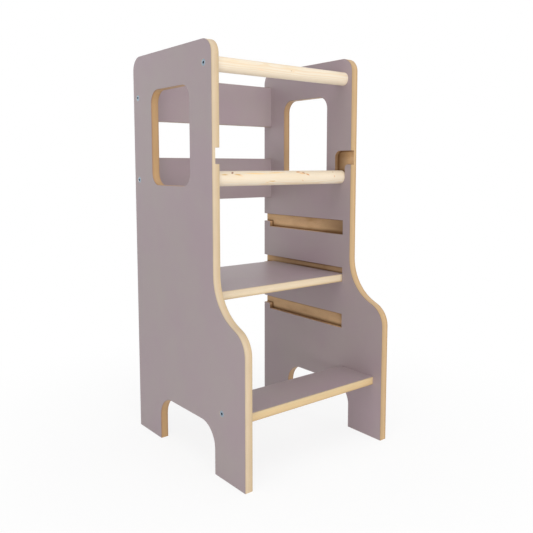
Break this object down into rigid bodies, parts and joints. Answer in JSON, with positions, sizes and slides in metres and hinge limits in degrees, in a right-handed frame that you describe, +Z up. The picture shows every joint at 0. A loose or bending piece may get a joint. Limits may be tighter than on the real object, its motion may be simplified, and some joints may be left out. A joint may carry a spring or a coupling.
{
  "type": "toddler kitchen helper stool",
  "caption": "Tall toddler helper stool: two window-cut side panels, front step, back slats, top rail, lift-out standing platform in routed grooves and lift-out safety bar.",
  "frame": {"origin": "on the floor, midway between the side panels and midway between the front and rear edges of the feet", "axes": "+Z up, +X to the right of someone facing the stool from its front, +Y to the rear; the front, with the step, faces -Y"},
  "size_m": [0.4, 0.424, 0.866],
  "materials": {
    "laminated_board": "mauve-grey laminate on both faces, clear-lacquered fibreboard edges",
    "pine": "sanded and clear-lacquered round bar",
    "zinc_plated_steel": "bright zinc plating",
    "beech": "unfinished dowel pin"
  },
  "bodies": {
    "tower": {"side_panel_left": "laminated_board", "side_panel_right": "laminated_board", "step_board": "laminated_board", "back_slat_upper": "laminated_board", "back_slat_lower": "laminated_board", "top_rail": "pine", "screw_top_rail_left": "zinc_plated_steel", "screw_slat_upper_left": "zinc_plated_steel", "screw_slat_lower_left": "zinc_plated_steel", "screw_step_left": "zinc_plated_steel", "screw_top_rail_right": "zinc_plated_steel", "screw_slat_upper_right": "zinc_plated_steel", "screw_slat_lower_right": "zinc_plated_steel", "screw_step_right": "zinc_plated_steel", "pin_slat_upper_bottom_left": "beech", "pin_slat_upper_top_left": "beech", "pin_slat_lower_bottom_left": "beech", "pin_slat_lower_top_left": "beech", "pin_step_front_left": "beech", "pin_step_rear_left": "beech", "pin_slat_upper_bottom_right": "beech", "pin_slat_upper_top_right": "beech", "pin_slat_lower_bottom_right": "beech", "pin_slat_lower_top_right": "beech", "pin_step_front_right": "beech", "pin_step_rear_right": "beech"},
    "platform": {"standing_platform": "laminated_board"},
    "safety_bar": {"safety_bar": "pine"}
  },
  "joints": [
    {"name": "platform_lift", "type": "slide", "parent": "tower", "child": "platform", "axis": [0, 0, 1], "range_m": [0, 0.0155]},
    {"name": "safety_bar_lift", "type": "slide", "parent": "tower", "child": "safety_bar", "axis": [0, 0, 1], "range_m": [0, 0.045]}
  ]
}
